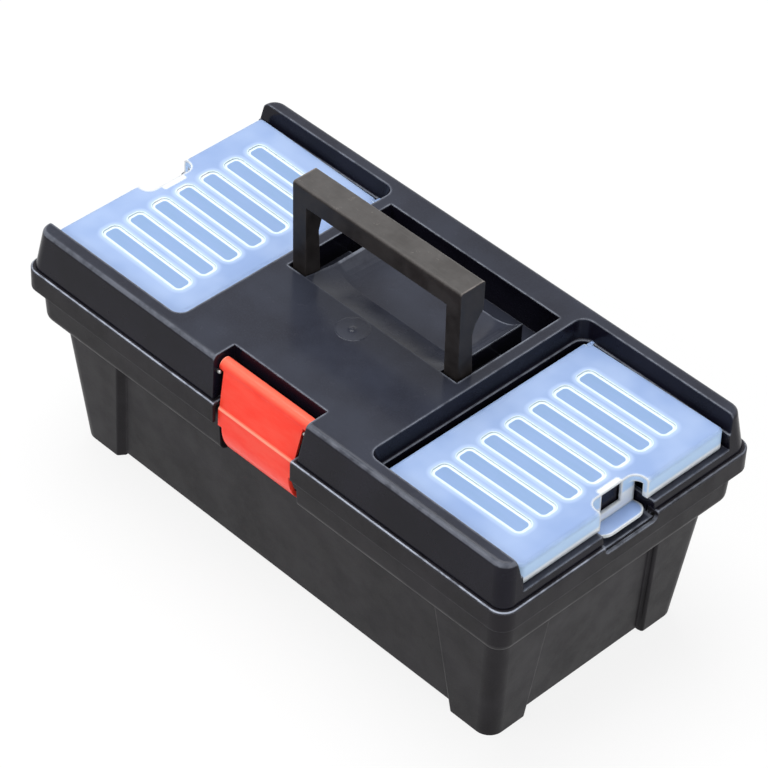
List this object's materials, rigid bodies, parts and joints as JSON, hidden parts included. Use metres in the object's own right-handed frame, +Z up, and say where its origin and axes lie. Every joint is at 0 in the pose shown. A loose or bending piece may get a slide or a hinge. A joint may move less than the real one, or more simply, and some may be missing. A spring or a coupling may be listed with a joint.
{
  "type": "tool box",
  "caption": "Small plastic tool box with a folding bail handle, a front snap latch, a rear-hinged lid and clear hinged covers over organiser pockets in the lid.",
  "frame": {"origin": "bottom centre of the closed box's outline, on the surface it stands on", "axes": "+X to the right along the box, -Y towards the latch, +Z up"},
  "size_m": [0.312, 0.1648, 0.175],
  "materials": {
    "tub_plastic": "satin",
    "lid_plastic": "satin",
    "handle_plastic": "satin",
    "latch_plastic": "satin",
    "cover_plastic": "translucent",
    "pin_steel": "zinc plated"
  },
  "bodies": {
    "tub": {"tub": "tub_plastic", "right_hinge_pin": "pin_steel", "left_hinge_pin": "pin_steel"},
    "lid": {"lid": "lid_plastic", "latch_pin": "pin_steel"},
    "handle": {"handle": "handle_plastic"},
    "latch": {"latch": "latch_plastic"},
    "right_cover": {"right_cover": "cover_plastic"},
    "left_cover": {"left_cover": "cover_plastic"}
  },
  "joints": [
    {"name": "lid_hinge", "type": "hinge", "parent": "tub", "child": "lid", "pos_m": [0, 0.0792, 0.10345], "axis": [-1, 0, 0], "range_deg": [0, 105]},
    {"name": "handle_fold", "type": "hinge", "parent": "lid", "child": "handle", "pos_m": [0, -0.0024, 0.117], "axis": [-1, 0, 0], "range_deg": [0, 90]},
    {"name": "latch_swing", "type": "hinge", "parent": "lid", "child": "latch", "pos_m": [0, -0.0719, 0.1195], "axis": [-1, 0, 0], "range_deg": [0, 110]},
    {"name": "right_cover_hinge", "type": "hinge", "parent": "lid", "child": "right_cover", "pos_m": [0.069, -0.0024, 0.1148], "axis": [0, -1, 0], "range_deg": [0, 95]},
    {"name": "left_cover_hinge", "type": "hinge", "parent": "lid", "child": "left_cover", "pos_m": [-0.069, -0.0024, 0.1148], "axis": [0, 1, 0], "range_deg": [0, 95]}
  ]
}
